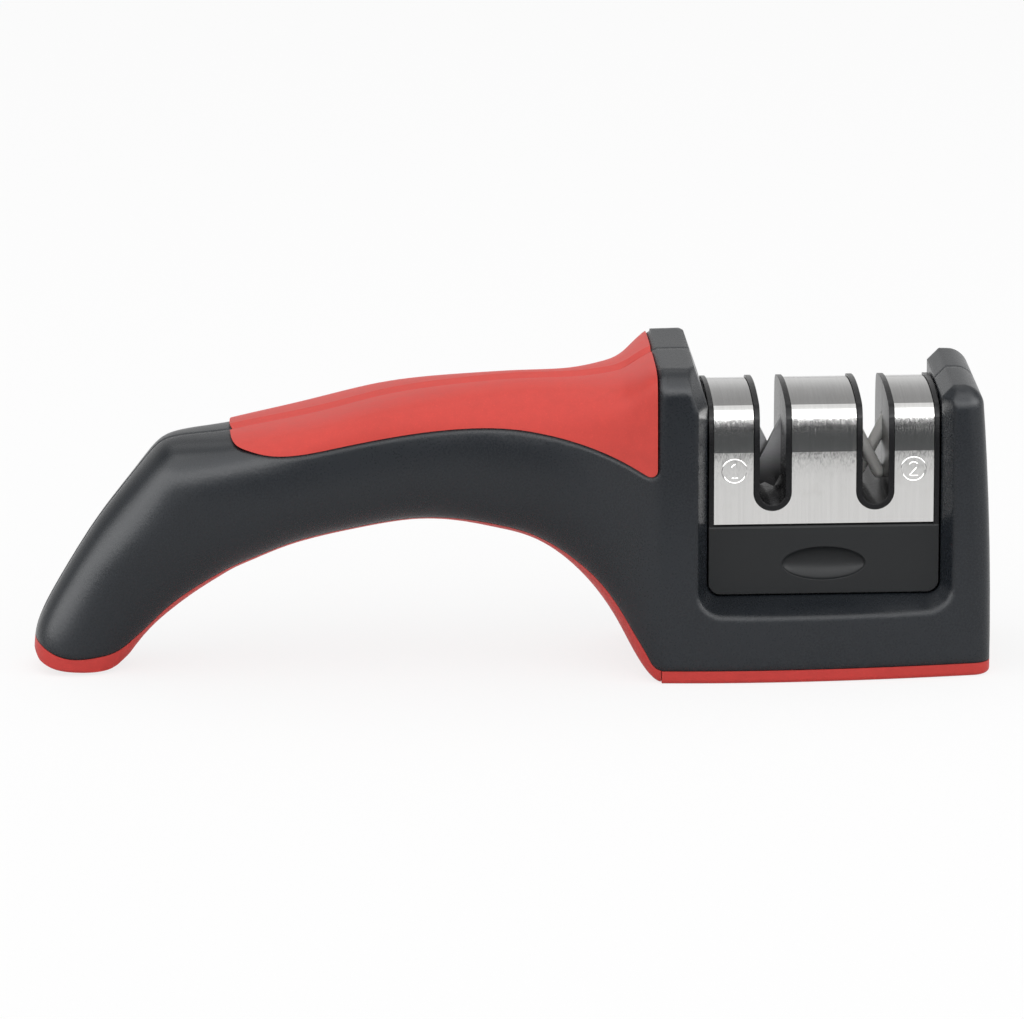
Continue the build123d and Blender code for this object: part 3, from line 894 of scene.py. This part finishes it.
@dataclass
class Studio:
    """Pale floor, soft lights and the camera at the photograph's angle.

    Mirrored rays see a dark table in front of the paper. It begins at paper_reach before the object, and
    lies table_half to each side of table_middle, widening with distance by table_spread.
    """

    focal_pixels: float = 8024.0
    image_width: float = 1024.0
    distance: float = 1.7
    elevation: float = 14.9
    turn: float = 2.85
    roll: float = 0.13
    target: tuple[float, float, float] = (0.00085, 0.0, 0.03262)
    sensor: float = 36.0
    clip: Span = (0.05, 20.0)
    floor_radius: float = 4.0
    floor_rings: tuple[float, ...] = (0.0, 0.1, 0.5, 1.0)
    floor_sides: int = 48
    floor_drop: float = 0.02 * MM
    floor_tone: Colour = (0.90, 0.90, 0.90)
    table_tone: Colour = (0.10, 0.104, 0.106)
    paper_reach: float = 0.2
    table_middle: float = 0.06
    table_half: float = 0.17
    table_fade: float = 0.04
    table_spread: float = 0.12
    paper_fade: float = 0.004
    white_share: float = 0.8
    behind_span: Span = (-0.15, 0.35)
    fill: Colour = (0.42, 0.42, 0.42)
    front_stops: tuple[tuple[float, Colour], ...] = (
        (0.0, (0.06, 0.06, 0.06)),
        (0.522, (0.06, 0.06, 0.065)),
        (0.534, (5.0, 5.0, 5.0)),
        (0.66, (5.0, 5.0, 5.0)),
        (0.73, (2.4, 2.4, 2.4)),
        (0.94, (1.9, 1.9, 1.9)),
        (1.0, (0.5, 0.5, 0.5)),
    )
    back_stops: tuple[tuple[float, Colour], ...] = (
        (0.0, (0.10, 0.10, 0.10)),
        (0.50, (0.75, 0.75, 0.75)),
        (0.58, (0.68, 0.68, 0.68)),
        (0.68, (0.47, 0.47, 0.47)),
        (0.76, (0.39, 0.39, 0.39)),
        (1.0, (0.42, 0.42, 0.42)),
    )
    lamps: tuple[Lamp, ...] = (
        Lamp("key_lamp", (-0.45, -0.75, 1.25), 3.0, 2.0, 15.6),
        Lamp("top_lamp", (0.15, 0.35, 1.45), 2.6, 2.0, 10.8),
        Lamp("right_lamp", (1.25, -0.55, 0.75), 0.7, 0.9, 3.6),
    )

    def camera(self) -> bpy.types.Object:
        """Places the camera on the photograph's ray and returns it."""
        up_angle, side_angle, roll = (math.radians(a) for a in (self.elevation, self.turn, self.roll))
        back = Vector(
            (
                -math.sin(side_angle) * math.cos(up_angle),
                -math.cos(side_angle) * math.cos(up_angle),
                math.sin(up_angle),
            )
        )
        right = Vector((math.cos(side_angle), -math.sin(side_angle), 0.0))
        up = back.cross(right)
        turned_right = math.cos(roll) * right - math.sin(roll) * up
        turned_up = math.sin(roll) * right + math.cos(roll) * up
        lens = bpy.data.cameras.new("camera")
        lens.sensor_width = self.sensor
        lens.lens = self.focal_pixels / self.image_width * self.sensor
        lens.clip_start, lens.clip_end = self.clip
        placed = bpy.data.objects.new("camera", lens)
        bpy.context.scene.collection.objects.link(placed)
        rotation = Matrix((turned_right, turned_up, back)).transposed().to_4x4()
        placed.matrix_world = Matrix.Translation(Vector(self.target) + self.distance * back) @ rotation
        bpy.context.scene.camera = placed
        return placed

    @staticmethod
    def blend(
        graph: Graph,
        share: Signal,
        first: bpy.types.Node,
        second: bpy.types.Node,
    ) -> bpy.types.Node:
        """Mixes two shaders.

        Args:
            graph: The graph that holds them.
            share: Share of the second shader.
            first: The first shader's node.
            second: The second shader's node.

        Returns:
            The Mix Shader node.
        """
        return graph.node("ShaderNodeMixShader", {}, {0: share, 1: first.outputs[0], 2: second.outputs[0]})

    def floor(self) -> bpy.types.Object:
        """A round pale floor, dark to mirrored rays in front: point (r, a) lies at r cos a, r sin a."""
        rings = np.array(self.floor_rings) * self.floor_radius
        turn = np.linspace(0.0, 2.0 * math.pi, self.floor_sides, endpoint=False)
        radius, angle = np.meshgrid(rings, turn, indexing="ij")
        level = np.full_like(radius, -self.floor_drop)
        points = np.stack([radius * np.cos(angle), radius * np.sin(angle), level], -1)
        row, column = np.meshgrid(np.arange(len(rings) - 1), np.arange(self.floor_sides), indexing="ij")
        nearby = (column + 1) % self.floor_sides
        inner, outer = row * self.floor_sides, (row + 1) * self.floor_sides
        quads = np.stack([inner + column, outer + column, outer + nearby, inner + nearby], -1)
        mesh = bpy.data.meshes.new("floor")
        mesh.from_pydata(points.reshape(-1, 3).tolist(), [], quads.reshape(-1, 4).tolist())
        made = bpy.data.objects.new("floor", mesh)
        bpy.context.scene.collection.objects.link(made)
        material, graph = started("floor_paper")
        path = graph.node("ShaderNodeLightPath")
        seen = Signal(graph, path.outputs["Is Camera Ray"])
        paper = graph.node("ShaderNodeBsdfDiffuse", {}, {"Color": self.floor_tone})
        white = graph.node("ShaderNodeEmission", {}, {"Color": (1.0, 1.0, 1.0), "Strength": 1.0})
        bright = self.blend(graph, seen * self.white_share, paper, white)
        aside = graph.axis(Axis.X) - self.table_middle
        spread = graph.axis(Axis.Y) * self.table_spread
        beside = (aside * aside - spread * spread).ramp(
            self.table_half**2, (self.table_half + self.table_fade) ** 2
        )
        beyond = (-graph.axis(Axis.Y)).ramp(
            self.paper_reach - self.paper_fade, self.paper_reach + self.paper_fade
        ) * (1.0 - beside)
        table = graph.node("ShaderNodeBsdfDiffuse", {}, {"Color": self.table_tone})
        mirrored = Signal(graph, path.outputs["Is Glossy Ray"])
        whole = self.blend(graph, mirrored * beyond, bright, table)
        graph.node("ShaderNodeOutputMaterial", {}, {"Surface": whole.outputs[0]})
        made.data.materials.append(material)
        return made

    def sky(self) -> None:
        """White to the camera, an even fill to matt surfaces, a room with a bright strip to mirrored rays.

        The front and back stops give the room's colour by height: 0 is straight down, 0.5 the horizon
        and 1 straight up.
        """
        world = bpy.data.worlds.new("room")
        bpy.context.scene.world = world
        world.use_nodes = True
        graph = Graph(world.node_tree)
        path = graph.node("ShaderNodeLightPath")
        direction = graph.node("ShaderNodeTexCoord").outputs["Generated"]
        height = graph.axis(Axis.Z, direction) * 0.5 + 0.5
        behind = graph.axis(Axis.Y, direction).ramp(*self.behind_span)
        front = graph.node("ShaderNodeValToRGB", {"stops": self.front_stops}, {0: height})
        back = graph.node("ShaderNodeValToRGB", {"stops": self.back_stops}, {0: height})
        mirrored = Signal(graph, path.outputs["Is Glossy Ray"])
        room = graph.mixed(mirrored, self.fill, graph.mixed(behind, front.outputs[0], back.outputs[0]))
        dim = graph.node("ShaderNodeBackground", {}, {"Color": room, "Strength": 1.0})
        white = graph.node("ShaderNodeBackground", {}, {"Color": (1.0, 1.0, 1.0), "Strength": 1.0})
        whole = self.blend(graph, Signal(graph, path.outputs["Is Camera Ray"]), dim, white)
        graph.node("ShaderNodeOutputWorld", {}, {"Surface": whole.outputs[0]})

    def build(self) -> None:
        """Sets the camera, the floor, the sky and the lamps."""
        self.camera()
        self.floor()
        self.sky()
        for lamp in self.lamps:
            lamp.build(Vector(self.target))
        bpy.context.scene.view_settings.view_transform = "Standard"


def main() -> None:
    """Builds the stage, then each sub-assembly in order."""
    logging.basicConfig(level=logging.INFO, format="%(name)s: %(message)s")
    Studio().build()
    for part in (Handle(), Cartridge()):
        for piece in part.build():
            LOG.info("%s: %d faces", piece.name, len(piece.data.polygons))


if __name__ == "__main__":
    main()
